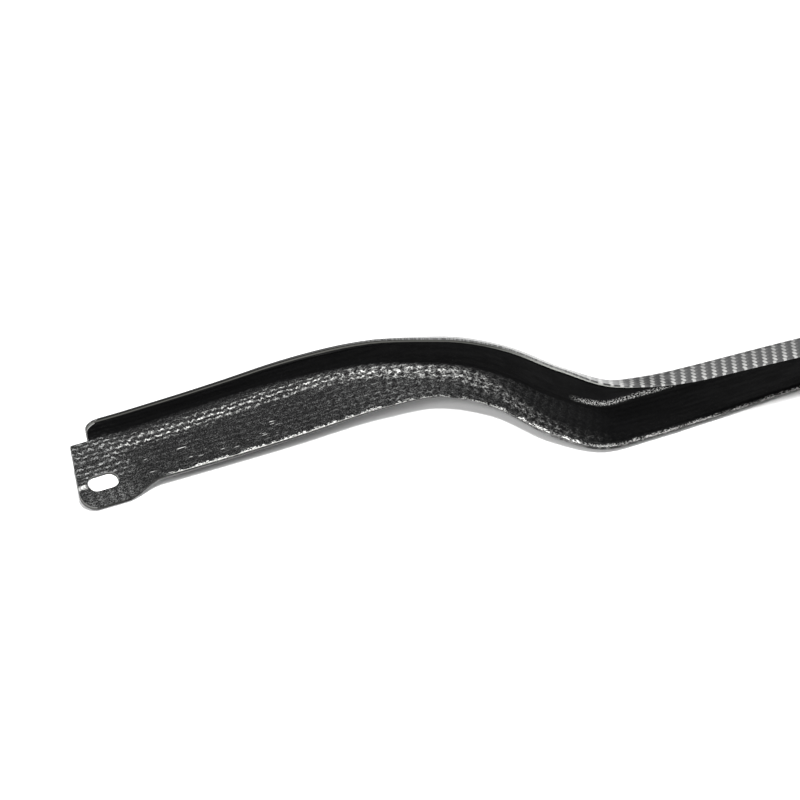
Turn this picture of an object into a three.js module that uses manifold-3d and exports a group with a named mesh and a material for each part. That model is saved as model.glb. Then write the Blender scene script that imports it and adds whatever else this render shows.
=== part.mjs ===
/**
 * Moulded carbon-fibre lip for the lower edge of a car's front bumper, in millimetres, +Z up.
 *
 * The lip lies as it rests on a bench: X runs across the car, +Y is forward, and the lower edges
 * stand on Z = 0. Its section is a hook that opens backwards: a blade, a rounded crease, a short
 * wall, and a flange that turns back over it. Each wing sweeps forward from an ear with an oval
 * slot, swings back at the waist and forward again into the middle. The section is measured on
 * the mould face, which is the outer one, and the plies are laid on it inwards.
 */
import * as THREE from "three";
import { mergeVertices } from "three/addons/utils/BufferGeometryUtils.js";
import Module from "manifold-3d";

const wasm = await Module();
wasm.setup();

// Plies, counted inwards from the mould face. A bond line parts each from the next.
const BOND_LINE = 0.3;
const FACE_PLY = 1.0;
const GLASS_PLY = 0.9;
const INNER_PLY = 0.6;
const PATCH_PLY = 0.8;
const GLASS_DEPTH = FACE_PLY + BOND_LINE;
const INNER_DEPTH = GLASS_DEPTH + GLASS_PLY + BOND_LINE;
const PATCH_DEPTH = INNER_DEPTH + INNER_PLY + BOND_LINE;
const EDGE_STEP = 2.4; // the inner plies stop this far short of the face ply's edges

// Section radii on the mould face.
const CREASE_RADIUS = 10;
const FLANGE_RADIUS = 5;
const LEAST_TURN = 0.02; // radians; the flange bend never closes up altogether
const LEAST_FLANGE = 0.2;

// The ear at each outer end. Its distances across the lip are measured from the middle.
const EAR_START = 748; // the blade starts to step down to the ear here
const PATCH_START = 763; // the ear's patch of cloth starts here
const EAR_FLAT = 767; // the ear is flat from here on
const LAY_UP_END = 806; // the plies are laid to here, then trimmed
const EAR_SLOPE = 25; // degrees
const EAR_RECESS = 2.4; // how far the ear's plate lies below the blade
const EAR_DROP = 6; // how far the ear reaches below the blade's lower edge
const EAR_LIFT = EAR_DROP * sine(EAR_SLOPE) + EAR_RECESS * cosine(EAR_SLOPE);

const UPRIGHT = 90; // degrees

// The ear's trimmed outline, on its own axes: outboard, and up its slope.
const EAR_MIDDLE = 776; // distance across the lip at which these axes start
const EAR_LOW_END = 14.5; // outboard edge at the ear's foot
const EAR_TOP_END = 10.3; // outboard edge at the ear's top
const EAR_TOP = 31;
const EAR_CORNER_RADIUS = 9;
const WALL_END = 0.3;
const WALL_TOP = 26.6; // height of the wall's top above the start of the ear's axes
const WALL_CORNER_REACH = 7.5;
const WALL_CORNER_HEIGHT = 5;
const SLOT_HEIGHT = 7.3; // middle of the slot above the blade's lower edge
const SLOT_LENGTH = 17;
const SLOT_WIDTH = 9.5;
const OFFCUT = 60; // reach of a trimming cutter past what it trims

// Each list gives a size at some distances from the middle of the lip: [distance, size].
const FORWARD = [
  [0, 216], [200, 188], [400, 102], [465, 69], [490, 57], [515, 48],
  [540, 55.5], [570, 75], [600, 82], [630, 73.5], [680, 50], [760, 14],
];
const LIFT = [
  [0, 0], [480, 0], [515, 0.8], [540, 3.4],
  [600, 8.6], [665, 6.3], [735, EAR_LIFT], [760, EAR_LIFT],
];
const BLADE_SLOPE = [
  [0, 88], [250, 88], [370, 86], [435, 78], [490, 68],
  [540, 58], [600, 48], [640, 35], [700, 27.5], [745, EAR_SLOPE],
];
const BLADE_WIDTH = [
  [0, 27.5], [300, 27.5], [430, 27], [500, 24], [540, 20.5],
  [570, 17.5], [600, 17], [630, 22.5], [690, 29.5], [760, 27.5],
];
const WALL_HEIGHT = [
  [0, 0.5], [300, 0.5], [370, 0.6], [435, 3.5], [490, 7.5], [515, 12.5],
  [540, 14], [600, 10], [665, 5.5], [700, 4.2], [760, 4.8],
];
const FLANGE_ANGLE = [
  [0, 180], [460, 180], [490, 171], [515, 156], [540, 147],
  [600, 154], [630, 143], [665, 114], [700, 97], [760, 91],
];
const FLANGE_WIDTH = [[0, 12], [435, 11.6], [490, 9.4], [540, 5.7], [600, 4.1], [665, 1.6], [760, 1]];

// Steps of the mesh: [from, to, count] along each wing, and along each part of the section.
const WING_STEPS = [
  [0, 440, 14], [440, 660, 18], [660, EAR_START, 5], [EAR_START, PATCH_START, 3],
  [PATCH_START, EAR_FLAT, 1], [EAR_FLAT, LAY_UP_END, 2],
];
const BLADE_STEPS = [0, 0.5, 0.88, 1];
const BEND_STEPS = 3;
const SECTION_ROWS = BLADE_STEPS.length - 1 + 2 * BEND_STEPS + 2; // blade, two bends, wall and flange
const PLATE_ROW = 1; // the ear's flat plate ends at this row of the section

function sine(degrees) {
  return Math.sin(THREE.MathUtils.degToRad(degrees));
}

function cosine(degrees) {
  return Math.cos(THREE.MathUtils.degToRad(degrees));
}

/**
 * The size that a list gives at a distance, on a smooth curve through its points. The curve levels
 * off wherever the list turns back or runs flat.
 */
function follow(list, distance) {
  const last = list.length - 1;
  const grade = (i) => (list[i + 1][1] - list[i][1]) / (list[i + 1][0] - list[i][0]);
  if (distance >= list[last][0]) {
    return list[last][1] + grade(last - 1) * (distance - list[last][0]);
  }
  const i = list.findIndex((point) => point[0] > distance) - 1;
  const slopeAt = (k) => {
    if (k === 0) return 0;
    if (k === last) return grade(last - 1);
    if (grade(k - 1) * grade(k) <= 0) return 0;
    const before = list[k][0] - list[k - 1][0];
    const after = list[k + 1][0] - list[k][0];
    return (grade(k - 1) * after + grade(k) * before) / (before + after);
  };
  const span = list[i + 1][0] - list[i][0];
  const t = (distance - list[i][0]) / span;
  const rise = list[i + 1][1] - list[i][1];
  const start = slopeAt(i) * span;
  const end = slopeAt(i + 1) * span;
  return list[i][1] + start * t + (3 * rise - 2 * start - end) * t ** 2 + (start + end - 2 * rise) * t ** 3;
}

/** A size that stays at its last value on the ear. */
function held(list, distance) {
  return follow(list, Math.min(distance, list[list.length - 1][0]));
}

const smooth = (from, to, value) => THREE.MathUtils.smoothstep(value, from, to);

/** Heading of the lower edge in plan: 0 is straight across, positive turns to +Y. */
function headingAt(x) {
  const reach = 0.5;
  const ahead = follow(FORWARD, Math.abs(x + reach));
  const behind = follow(FORWARD, Math.abs(x - reach));
  return Math.atan2(ahead - behind, 2 * reach);
}

/**
 * Section at x as a list of {out, up, angle}: the place and the direction of the mould face, from
 * the blade's lower edge to the flange's free edge. trim shortens it at both ends.
 */
function sectionAt(x, trim) {
  const far = Math.abs(x);
  const slope = THREE.MathUtils.degToRad(held(BLADE_SLOPE, far));
  const flangeAngle = THREE.MathUtils.degToRad(held(FLANGE_ANGLE, far));
  const upright = Math.PI / 2;
  const points = [];
  const pen = { out: 0, up: 0 };
  const mark = (angle) => points.push({ out: pen.out, up: pen.up, angle });
  const go = (angle, length) => {
    pen.out += Math.cos(angle) * length;
    pen.up += Math.sin(angle) * length;
  };
  const turn = (from, to, radius) => {
    const step = (to - from) / BEND_STEPS;
    for (let i = 1; i <= BEND_STEPS; i++) {
      const chord = 2 * radius * Math.sin(step / 2);
      go(from + (i - 0.5) * step, chord);
      mark(from + i * step);
    }
  };

  const bladeWidth = held(BLADE_WIDTH, far);
  const lowEdge = trim - EAR_DROP * smooth(EAR_START, EAR_FLAT, far);
  const recess = EAR_RECESS * smooth(EAR_START, EAR_FLAT, far);
  for (const share of BLADE_STEPS) {
    const along = share === 0 ? lowEdge : bladeWidth * share;
    const sunk = share <= BLADE_STEPS[PLATE_ROW] ? recess : 0;
    points.push({
      out: Math.cos(slope) * along + Math.sin(slope) * sunk,
      up: Math.sin(slope) * along - Math.cos(slope) * sunk,
      angle: slope,
    });
  }
  go(slope, bladeWidth);
  turn(slope, upright, CREASE_RADIUS);
  go(upright, held(WALL_HEIGHT, far));
  mark(upright);
  turn(upright, Math.max(flangeAngle, upright + LEAST_TURN), FLANGE_RADIUS);
  go(flangeAngle, Math.max(held(FLANGE_WIDTH, far) - trim, LEAST_FLANGE));
  mark(flangeAngle);
  return points;
}

/** Place in space of a section's point at x, the given depth inwards of the mould face. */
function place(x, point, depth) {
  const heading = headingAt(x);
  const out = point.out - Math.sin(point.angle) * depth;
  const up = point.up + Math.cos(point.angle) * depth;
  return new THREE.Vector3(
    x - Math.sin(heading) * out,
    follow(FORWARD, Math.abs(x)) + Math.cos(heading) * out,
    held(LIFT, Math.abs(x)) + up,
  );
}

/** Distances across the lip at which its section is drawn, from one end to the other. */
function stations() {
  const wing = [0];
  for (const [from, to, count] of WING_STEPS) {
    for (let i = 1; i <= count; i++) {
      wing.push(from + ((to - from) * i) / count);
    }
  }
  const otherWing = wing.slice(1).reverse().map((x) => -x);
  return [...otherWing, ...wing];
}

/** Closed solid of one ply, along the given distances; rows picks a part of the section. */
function plySolid(across, { depth, thickness, trim = 0, rows = [0, SECTION_ROWS] }) {
  const sections = across.map((x) => sectionAt(x, trim));
  const rowCount = rows[1] - rows[0];
  const columnCount = across.length - 1;
  const geometry = new THREE.BoxGeometry(1, 1, 1, columnCount, rowCount, 1);
  const corner = geometry.attributes.position;
  for (let i = 0; i < corner.count; i++) {
    const column = Math.round((corner.getX(i) + 0.5) * columnCount);
    const row = rows[0] + Math.round((corner.getY(i) + 0.5) * rowCount);
    const layer = corner.getZ(i) > 0 ? depth + thickness : depth;
    const spot = place(across[column], sections[column][row], layer);
    corner.setXYZ(i, spot.x, spot.y, spot.z);
  }
  matchDiagonals(geometry.index, rowCount * columnCount);
  return toSolid(geometry);
}

/** Splits the mould side's squares, the last ones of a box, along the same diagonals as the open side's. */
function matchDiagonals(index, squareCount) {
  for (let i = index.count - 6 * squareCount; i < index.count; i += 6) {
    const [a, b, d, , c] = index.array.slice(i, i + 5);
    index.array.set([a, b, c, a, c, d], i);
  }
}

/** A manifold-3d solid of a closed geometry. */
function toSolid(geometry) {
  const bare = geometry.index ? geometry.clone() : geometry;
  bare.deleteAttribute("normal");
  bare.deleteAttribute("uv");
  const merged = mergeVertices(bare, 1e-5);
  return new wasm.Manifold(new wasm.Mesh({
    numProp: 3,
    vertProperties: new Float32Array(merged.attributes.position.array),
    triVerts: new Uint32Array(merged.index.array),
  }));
}

/** A named mesh of a manifold-3d solid. */
function toMesh(name, solid, look) {
  const { vertProperties, triVerts } = solid.getMesh();
  const geometry = new THREE.BufferGeometry();
  geometry.setAttribute("position", new THREE.BufferAttribute(new Float32Array(vertProperties), 3));
  geometry.setIndex(new THREE.BufferAttribute(new Uint32Array(triVerts), 1));
  geometry.computeVertexNormals();
  const mesh = new THREE.Mesh(geometry, new THREE.MeshStandardMaterial(look));
  mesh.name = name;
  return mesh;
}

/**
 * Axes at one end of the lip: X outboard along it, Y up a slope in degrees, Z square to both. They
 * start on the blade's lower edge at EAR_MIDDLE. side is -1 or 1.
 */
function endAxes(side, slope) {
  const x = side * EAR_MIDDLE;
  const heading = headingAt(x);
  const outboard = new THREE.Vector3(Math.cos(heading), Math.sin(heading), 0).multiplyScalar(side);
  const forward = new THREE.Vector3(-Math.sin(heading), Math.cos(heading), 0);
  const upSlope = forward.multiplyScalar(cosine(slope)).add(new THREE.Vector3(0, 0, sine(slope)));
  const square = outboard.clone().cross(upSlope);
  const start = place(x, { out: 0, up: 0, angle: THREE.MathUtils.degToRad(EAR_SLOPE) }, 0);
  return new THREE.Matrix4().makeBasis(outboard, upSlope, square).setPosition(start);
}

/** A cutter through one end of the lip, from an outline on that end's axes at a slope. */
function endCutter(side, outline, slope) {
  const reach = 40;
  const extent = { depth: 2 * reach, bevelEnabled: false, curveSegments: 6 };
  const geometry = new THREE.ExtrudeGeometry(outline, extent);
  geometry.translate(0, 0, -reach);
  geometry.applyMatrix4(endAxes(side, slope));
  return toSolid(geometry);
}

/** Outline of the oval slot, long way along the ear. */
function slotOutline() {
  const radius = SLOT_WIDTH / 2;
  const straight = SLOT_LENGTH / 2 - radius;
  const outline = new THREE.Shape();
  outline.absarc(straight, SLOT_HEIGHT, radius, -Math.PI / 2, Math.PI / 2);
  outline.absarc(-straight, SLOT_HEIGHT, radius, Math.PI / 2, (3 * Math.PI) / 2);
  outline.closePath();
  return outline;
}

/** Outline of what is trimmed off beyond the ear's outboard edge and its rounded lower corner. */
function earEndOutline() {
  const cornerMiddle = { x: EAR_LOW_END - EAR_CORNER_RADIUS, y: EAR_CORNER_RADIUS - EAR_DROP };
  const outline = new THREE.Shape();
  outline.moveTo(EAR_TOP_END, OFFCUT);
  outline.lineTo(EAR_TOP_END, EAR_TOP);
  outline.absarc(cornerMiddle.x, cornerMiddle.y, EAR_CORNER_RADIUS, 0, -Math.PI / 2, true);
  outline.lineTo(cornerMiddle.x, -OFFCUT);
  outline.lineTo(OFFCUT, -OFFCUT);
  outline.lineTo(OFFCUT, OFFCUT);
  outline.closePath();
  return outline;
}

/** Outline of what is trimmed off above the ear, outboard of the wall's end. */
function wallEndOutline() {
  const outline = new THREE.Shape();
  outline.moveTo(WALL_END, EAR_TOP);
  outline.lineTo(OFFCUT, EAR_TOP);
  outline.lineTo(OFFCUT, OFFCUT);
  outline.lineTo(WALL_END, OFFCUT);
  outline.closePath();
  return outline;
}

/** Outline, on upright axes, of what is trimmed off round the top corner of the wall's end. */
function wallCornerOutline() {
  const cornerStart = WALL_END - WALL_CORNER_REACH;
  const cornerFoot = WALL_TOP - WALL_CORNER_HEIGHT;
  const outline = new THREE.Shape();
  outline.moveTo(OFFCUT, cornerFoot);
  outline.lineTo(OFFCUT, OFFCUT);
  outline.lineTo(cornerStart, OFFCUT);
  outline.lineTo(cornerStart, WALL_TOP);
  outline.absellipse(cornerStart, cornerFoot, WALL_CORNER_REACH, WALL_CORNER_HEIGHT, Math.PI / 2, 0, true);
  outline.closePath();
  return outline;
}

/** Trims both ends of a laid-up ply to the ear's outline, rounds the wall's corner and cuts the slots. */
function trimmed(solid) {
  let result = solid;
  for (const side of [-1, 1]) {
    for (const outline of [earEndOutline(), wallEndOutline(), slotOutline()]) {
      result = result.subtract(endCutter(side, outline, EAR_SLOPE));
    }
    result = result.subtract(endCutter(side, wallCornerOutline(), UPRIGHT));
  }
  return result;
}

/** Distances across the lip that a patch on one ear covers. */
function patchStations(side) {
  const distances = [PATCH_START, EAR_FLAT, LAY_UP_END];
  return side < 0 ? distances.reverse().map((x) => -x) : distances;
}

/** Glossy twill ply on the mould face; it reaches to every trimmed edge. */
function facePly(across) {
  const solid = plySolid(across, { depth: 0, thickness: FACE_PLY });
  return toMesh("face_ply", trimmed(solid), { color: 0x1c1d1e, roughness: 0.25, metalness: 0.1 });
}

/** Glass-fibre ply in the middle of the laminate, seen as a pale line at the trimmed edges. */
function glassPly(across) {
  const solid = plySolid(across, { depth: GLASS_DEPTH, thickness: GLASS_PLY, trim: EDGE_STEP });
  return toMesh("glass_core_ply", trimmed(solid), { color: 0xb9bbb4, roughness: 0.7, metalness: 0 });
}

/** Rough cloth ply on the open side, with the print of the bagging on it. */
function innerPly(across) {
  const solid = plySolid(across, { depth: INNER_DEPTH, thickness: INNER_PLY, trim: EDGE_STEP });
  return toMesh("inner_ply", trimmed(solid), { color: 0x2a2b2b, roughness: 0.6, metalness: 0 });
}

/** Cloth patch that stiffens one ear round its slot. */
function earPatch(side) {
  const solid = plySolid(patchStations(side), {
    depth: PATCH_DEPTH, thickness: PATCH_PLY, trim: EDGE_STEP, rows: [0, PLATE_ROW],
  });
  const name = side < 0 ? "ear_patch_left" : "ear_patch_right";
  return toMesh(name, trimmed(solid), { color: 0x303130, roughness: 0.65, metalness: 0 });
}

const lip = new THREE.Group();
const across = stations();
lip.add(facePly(across), glassPly(across), innerPly(across), earPatch(-1), earPatch(1));

// The lip stands on Z = 0 with its middle over the origin.
const box = new THREE.Box3().setFromObject(lip);
lip.position.set(0, -(box.min.y + box.max.y) / 2, -box.min.z);
lip.updateMatrixWorld(true);

export default lip;
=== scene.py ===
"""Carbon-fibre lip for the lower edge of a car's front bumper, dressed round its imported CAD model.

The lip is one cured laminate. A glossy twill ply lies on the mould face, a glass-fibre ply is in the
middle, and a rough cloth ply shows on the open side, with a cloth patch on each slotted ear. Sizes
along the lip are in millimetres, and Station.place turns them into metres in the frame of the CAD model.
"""

from __future__ import annotations

import logging
import math
from collections.abc import Sequence
from dataclasses import dataclass
from enum import Enum

import bmesh
import bpy
from mathutils import Matrix, Vector, noise


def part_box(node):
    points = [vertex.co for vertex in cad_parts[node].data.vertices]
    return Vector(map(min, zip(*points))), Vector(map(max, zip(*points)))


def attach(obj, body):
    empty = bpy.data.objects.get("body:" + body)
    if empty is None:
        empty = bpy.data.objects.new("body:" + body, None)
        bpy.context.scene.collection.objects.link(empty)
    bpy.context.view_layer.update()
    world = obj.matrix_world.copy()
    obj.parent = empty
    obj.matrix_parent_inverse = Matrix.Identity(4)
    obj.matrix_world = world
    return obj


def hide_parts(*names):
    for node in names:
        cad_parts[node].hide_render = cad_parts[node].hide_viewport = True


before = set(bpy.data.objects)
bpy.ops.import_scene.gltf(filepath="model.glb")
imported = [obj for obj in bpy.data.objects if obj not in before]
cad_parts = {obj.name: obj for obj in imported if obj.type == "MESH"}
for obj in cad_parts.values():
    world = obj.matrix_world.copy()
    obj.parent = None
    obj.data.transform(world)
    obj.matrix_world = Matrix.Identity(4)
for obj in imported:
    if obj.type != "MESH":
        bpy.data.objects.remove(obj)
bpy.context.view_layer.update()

log = logging.getLogger("lip")

Span = tuple[float, float]  # two distances, between which something fades in or out

MM = 0.001
UPRIGHT = math.pi / 2
LEAST_TURN = 0.02  # radians; the flange's bend never closes up altogether
LEAST_FLANGE = 0.2  # millimetres; nor does the flange ever end at its bend


# ---------------------------------------------------------------------------------------------
# The lip's shape
# ---------------------------------------------------------------------------------------------


def smooth_step(low: float, high: float, value: float) -> float:
    """A share that goes from 0 at low to 1 at high, level at both."""
    share = min(max((value - low) / (high - low), 0.0), 1.0)
    return share * share * (3 - 2 * share)


@dataclass(frozen=True)
class Course:
    """A size that changes along the lip, on a smooth curve through its points."""

    points: tuple[tuple[float, float], ...]

    def grade(self, i: int) -> float:
        """Rise per millimetre from point i to the next."""
        (start, low), (end, high) = self.points[i], self.points[i + 1]
        return (high - low) / (end - start)

    def slope_at(self, i: int) -> float:
        """The curve's slope at point i. It is level wherever the course turns back or runs flat."""
        if i == 0:
            return 0.0
        if i == len(self.points) - 1:
            return self.grade(i - 1)
        if self.grade(i - 1) * self.grade(i) <= 0:
            return 0.0
        before = self.points[i][0] - self.points[i - 1][0]
        after = self.points[i + 1][0] - self.points[i][0]
        return (self.grade(i - 1) * after + self.grade(i) * before) / (before + after)

    def at(self, distance: float) -> float:
        """The size at a distance from the middle of the lip.

        Args:
            distance: Distance across the lip, in millimetres.

        Returns:
            The size there. Past the last point it goes on in a straight line.
        """
        last = len(self.points) - 1
        if distance >= self.points[last][0]:
            return self.points[last][1] + self.grade(last - 1) * (distance - self.points[last][0])
        i = next(k for k in range(last) if self.points[k + 1][0] > distance)
        span = self.points[i + 1][0] - self.points[i][0]
        rise = self.points[i + 1][1] - self.points[i][1]
        t = (distance - self.points[i][0]) / span
        start = self.slope_at(i) * span
        end = self.slope_at(i + 1) * span
        bend = 3 * rise - 2 * start - end
        twist = start + end - 2 * rise
        return self.points[i][1] + start * t + bend * t**2 + twist * t**3

    def held(self, distance: float) -> float:
        """The size at a distance, which stays at its last value on the ear."""
        return self.at(min(distance, self.points[-1][0]))


class Zone(Enum):
    """The stretches of the lip's section, from the lower edge to the flange's free edge."""

    BLADE = "blade"
    CREASE = "crease"
    WALL = "wall"
    BEND = "bend"
    FLANGE = "flange"


@dataclass(frozen=True)
class Row:
    """One row of a ply's mesh: where it lies in the section, and on which side of the ply."""

    zone: Zone
    share: float
    open_side: bool


@dataclass
class Spot:
    """A place on the section: out and up from the lower edge, with the mould face's direction."""

    out: float
    up: float
    angle: float
    run: float


@dataclass(frozen=True)
class Ear:
    """The slotted ear at each end. Its outline runs on its own axes: outboard, and up its slope."""

    start: float = 748.0
    patch_start: float = 763.0
    flat: float = 767.0
    lay_up_end: float = 806.0
    slope: float = math.radians(25)
    recess: float = 2.4
    drop: float = 6.0
    middle: float = 776.0
    low_end: float = 14.5
    top_end: float = 10.3
    top: float = 31.0
    corner_radius: float = 9.0
    wall_end: float = 0.3
    wall_top: float = 26.6
    wall_corner_reach: float = 7.5
    wall_corner_height: float = 5.0
    slot_height: float = 7.3
    slot_length: float = 17.0
    slot_width: float = 9.5
    plate_share: float = 0.5
    ramp_share: float = 0.88

    @property
    def lift(self) -> float:
        """Height of the blade's lower edge where the ear's foot stands on the floor."""
        return self.drop * math.sin(self.slope) + self.recess * math.cos(self.slope)


@dataclass(frozen=True)
class Station:
    """The lip's section at one distance from its middle."""

    x: float
    along: float
    heading: float
    forward: float
    lift: float
    slope: float
    width: float
    wall: float
    flange_angle: float
    flange_width: float
    low_edge: float
    recess: float
    plate: tuple[float, float]
    crease_radius: float
    flange_radius: float

    def spot(self, row: Row, trim: float) -> Spot:
        """The mould face's place in this section.

        Args:
            row: The row of the mesh.
            trim: How far the ply stops short of the lip's long edges.

        Returns:
            The spot, before the ply's depth is laid on.
        """
        if row.zone is Zone.BLADE:
            return self.blade_spot(row.share, trim)
        turned = self.slope + (UPRIGHT - self.slope) * (row.share if row.zone is Zone.CREASE else 1.0)
        out = math.cos(self.slope) * self.width
        out += self.crease_radius * (math.sin(turned) - math.sin(self.slope))
        up = math.sin(self.slope) * self.width
        up += self.crease_radius * (math.cos(self.slope) - math.cos(turned))
        run = self.width + self.crease_radius * (turned - self.slope)
        if row.zone is Zone.CREASE:
            return Spot(out, up, turned, run)
        rise = self.wall * (row.share if row.zone is Zone.WALL else 1.0)
        up += rise
        run += rise
        if row.zone is Zone.WALL:
            return Spot(out, up, UPRIGHT, run)
        turned = UPRIGHT + (self.flange_angle - UPRIGHT) * (row.share if row.zone is Zone.BEND else 1.0)
        out += self.flange_radius * (math.sin(turned) - 1)
        up -= self.flange_radius * math.cos(turned)
        run += self.flange_radius * (turned - UPRIGHT)
        if row.zone is Zone.BEND:
            return Spot(out, up, turned, run)
        length = max(self.flange_width - trim, LEAST_FLANGE) * row.share
        out += math.cos(turned) * length
        up += math.sin(turned) * length
        return Spot(out, up, turned, run + length)

    @property
    def fold_end(self) -> float:
        """Distance across the section at which the crease has turned into the wall."""
        return self.width + self.crease_radius * (UPRIGHT - self.slope)

    def blade_spot(self, share: float, trim: float) -> Spot:
        """The blade's place at a share of its width; on the ear it steps down to the plate."""
        low_edge = trim + self.low_edge
        along = low_edge + (self.width - low_edge) * share
        sunk = self.recess * (1 - smooth_step(*self.plate, along))
        out = math.cos(self.slope) * along + math.sin(self.slope) * sunk
        up = math.sin(self.slope) * along - math.cos(self.slope) * sunk
        return Spot(out, up, self.slope, along)

    def place(self, spot: Spot, depth: float) -> Vector:
        """A spot's place in the frame of the CAD model.

        Args:
            spot: The spot in this section.
            depth: Depth inwards of the mould face, in millimetres.

        Returns:
            The place, in metres.
        """
        out = spot.out - math.sin(spot.angle) * depth
        up = spot.up + math.cos(spot.angle) * depth
        return MM * Vector((
            self.x - math.sin(self.heading) * out,
            self.forward + math.cos(self.heading) * out,
            self.lift + up,
        ))

    def on_cloth(self, spot: Spot) -> Vector:
        """Where a spot lies on the face cloth, which is rolled out flat from the flange, in metres."""
        free_edge = self.spot(Row(Zone.FLANGE, 1.0, False), 0.0)
        flat = free_edge.out + free_edge.run - spot.run
        return MM * Vector((
            self.x - math.sin(self.heading) * flat,
            self.forward + math.cos(self.heading) * flat,
        ))


@dataclass
class Lip:
    """The mould face of the whole lip, which every ply follows at its own depth."""

    ear: Ear = Ear()
    shift: float = 0.0
    crease_radius: float = 10.0
    flange_radius: float = 5.0
    forward: Course = Course((
        (0, 216), (200, 188), (400, 102), (465, 69), (490, 57), (515, 48),
        (540, 55.5), (570, 75), (600, 82), (630, 73.5), (680, 50), (760, 14),
    ))
    blade_slope: Course = Course((
        (0, 88), (250, 88), (370, 86), (435, 78), (490, 68),
        (540, 58), (600, 48), (640, 35), (700, 27.5), (745, 25),
    ))
    blade_width: Course = Course((
        (0, 27.5), (300, 27.5), (430, 27), (500, 24), (540, 20.5),
        (570, 17.5), (600, 17), (630, 22.5), (690, 29.5), (760, 27.5),
    ))
    wall_height: Course = Course((
        (0, 0.5), (300, 0.5), (370, 0.6), (435, 3.5), (490, 7.5), (515, 12.5),
        (540, 14), (600, 10), (665, 5.5), (700, 4.2), (760, 4.8),
    ))
    flange_angle: Course = Course((
        (0, 180), (460, 180), (490, 171), (515, 156), (540, 147),
        (600, 154), (630, 143), (665, 114), (700, 97), (760, 91),
    ))
    flange_width: Course = Course((
        (0, 12), (435, 11.6), (490, 9.4), (540, 5.7), (600, 4.1), (665, 1.6), (760, 1),
    ))

    def __post_init__(self) -> None:
        """Adds the course of the lower edge's height, and the lengths along the lower edge."""
        lift = self.ear.lift
        self.lift = Course((
            (0, 0), (480, 0), (515, 0.8), (540, 3.4), (600, 8.6), (665, 6.3), (735, lift), (760, lift),
        ))
        self.lengths = [0.0]
        for x in range(math.ceil(self.ear.lay_up_end)):
            step = math.hypot(1.0, self.forward.at(x + 1) - self.forward.at(x))
            self.lengths.append(self.lengths[-1] + step)

    def align(self, front: float) -> None:
        """Moves the lip along Y so that its middle reaches as far forward as the CAD model's.

        Args:
            front: The CAD model's foremost Y, in metres.
        """
        middle = self.station(0.0)
        wall = middle.spot(Row(Zone.WALL, 1.0, False), 0.0)
        self.shift += front / MM - middle.forward - wall.out

    def heading(self, x: float) -> float:
        """Direction of the lower edge in plan at x: 0 is straight across, positive turns to +Y."""
        reach = 0.5
        ahead = self.forward.at(abs(x + reach))
        behind = self.forward.at(abs(x - reach))
        return math.atan2(ahead - behind, 2 * reach)

    def along(self, x: float) -> float:
        """Distance along the lower edge from the middle of the lip to x."""
        far = min(abs(x), len(self.lengths) - 1.001)
        step = int(far)
        length = self.lengths[step] + (far - step) * (self.lengths[step + 1] - self.lengths[step])
        return math.copysign(length, x)

    def station(self, x: float) -> Station:
        """The section at a distance from the middle.

        Args:
            x: Distance across the lip from its middle, in millimetres.

        Returns:
            The section's sizes and place there.
        """
        far = abs(x)
        width = self.blade_width.held(far)
        growth = smooth_step(self.ear.start, self.ear.flat, far)
        return Station(
            x=x,
            along=self.along(x),
            heading=self.heading(x),
            forward=self.forward.at(far) + self.shift,
            lift=self.lift.held(far),
            slope=math.radians(self.blade_slope.held(far)),
            width=width,
            wall=self.wall_height.held(far),
            flange_angle=max(math.radians(self.flange_angle.held(far)), UPRIGHT + LEAST_TURN),
            flange_width=self.flange_width.held(far),
            low_edge=-self.ear.drop * growth,
            recess=self.ear.recess * growth,
            plate=(self.ear.plate_share * width, self.ear.ramp_share * width),
            crease_radius=self.crease_radius,
            flange_radius=self.flange_radius,
        )

    def end_axes(self, side: int, slope: float) -> Matrix:
        """Axes of one end: outboard, up a slope, and square to both.

        Args:
            side: -1 for the left end, 1 for the right.
            slope: The slope, in radians.

        Returns:
            The axes' matrix, from millimetres at the end to metres in the frame.
        """
        station = self.station(side * self.ear.middle)
        heading = station.heading
        outboard = side * Vector((math.cos(heading), math.sin(heading), 0))
        forward = Vector((-math.sin(heading), math.cos(heading), 0))
        up_slope = forward * math.cos(slope) + Vector((0, 0, math.sin(slope)))
        square = outboard.cross(up_slope)
        start = station.place(Spot(0.0, 0.0, station.slope, 0.0), 0.0)
        turn = Matrix((outboard, up_slope, square)).transposed().to_4x4()
        return Matrix.Translation(start) @ turn @ Matrix.Scale(MM, 4)


@dataclass(frozen=True)
class Mesh:
    """How finely a ply is drawn: the length of its columns, and its rows on each side."""

    column: float
    open_rows: tuple[int, int, int, int, int]
    mould_rows: tuple[int, int, int, int, int]

    def ring(self, zones: tuple[Zone, ...], top_share: float) -> list[Row]:
        """The rows right round a ply, up its open side and back down its mould side.

        Args:
            zones: The stretches of the section that the ply covers.
            top_share: Share of each stretch that it covers, which is 1 unless there is only one.

        Returns:
            The rows in order. The first is repeated at the end.
        """

        def side(counts: tuple[int, ...], open_side: bool) -> list[Row]:
            rows = [Row(zones[0], 0.0, open_side)]
            for zone, count in zip(zones, counts):
                rows += [Row(zone, top_share * i / count, open_side) for i in range(1, count + 1)]
            return rows

        up = side(self.open_rows, True)
        down = side(self.mould_rows, False)[::-1]
        return [*up, *down, up[0]]


# ---------------------------------------------------------------------------------------------
# Shader nodes
# ---------------------------------------------------------------------------------------------

Number = "Term | float"


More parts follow.
